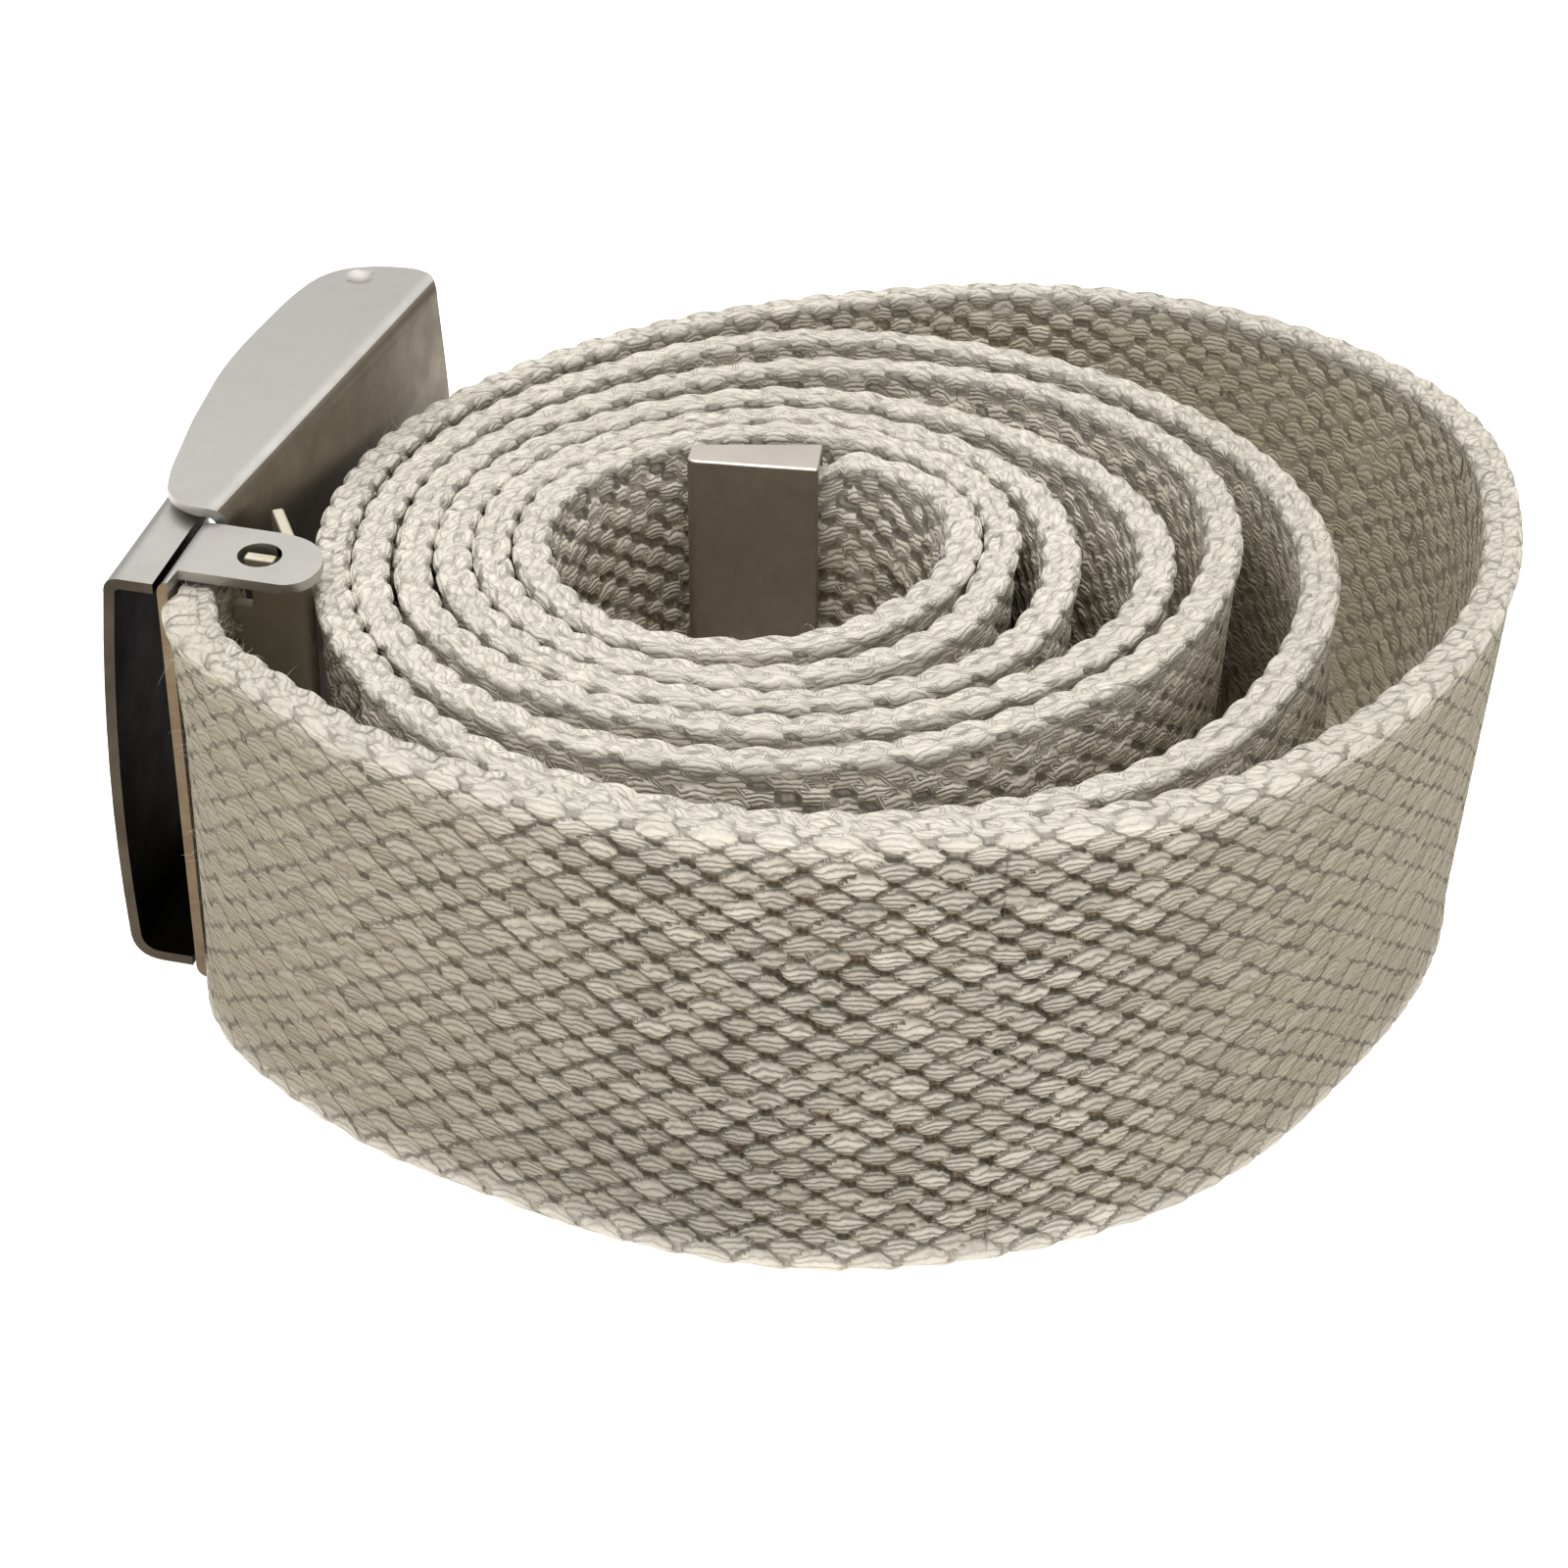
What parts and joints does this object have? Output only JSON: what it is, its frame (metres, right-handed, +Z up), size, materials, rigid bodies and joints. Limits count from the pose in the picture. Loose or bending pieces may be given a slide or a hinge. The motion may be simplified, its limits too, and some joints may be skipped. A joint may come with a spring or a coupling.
{
  "type": "web belt with flip-top buckle",
  "caption": "Thick undyed cotton web belt lying as a loose coil on its edge, with an open flip-top box buckle and a pressed metal tip.",
  "frame": {"origin": "on the table under the middle of the coil's bounding box", "axes": "+Z up along the webbing's width, +X to the right of the picture, away from the buckle, +Y away from the camera"},
  "size_m": [0.1006, 0.096, 0.0405],
  "materials": {
    "webbing": "thick undyed cotton webbing in a plump twill of twisted yarns",
    "tip_steel": "pressed steel, dull grey-brown",
    "shell_steel": "satin nickel-plated sheet steel",
    "plate_steel": "satin nickel-plated sheet steel with bright cut edges",
    "clamp_steel": "satin nickel-plated sheet steel, darker in the shade",
    "lid_steel": "satin nickel-plated sheet steel",
    "pin_steel": "plain steel pin"
  },
  "bodies": {
    "belt": {"webbing": "webbing", "tip_cap": "tip_steel", "loop_shell": "shell_steel", "back_plate": "plate_steel", "clamp_lever": "clamp_steel", "lid_pin": "pin_steel"},
    "lid": {"lid": "lid_steel"}
  },
  "joints": [
    {"name": "lid_hinge", "type": "hinge", "parent": "belt", "child": "lid", "pos_m": [-0.04446, -0.00068, 0.01877], "axis": [0.0248, -0.1301, 0.9912], "range_deg": [0, 185]}
  ]
}
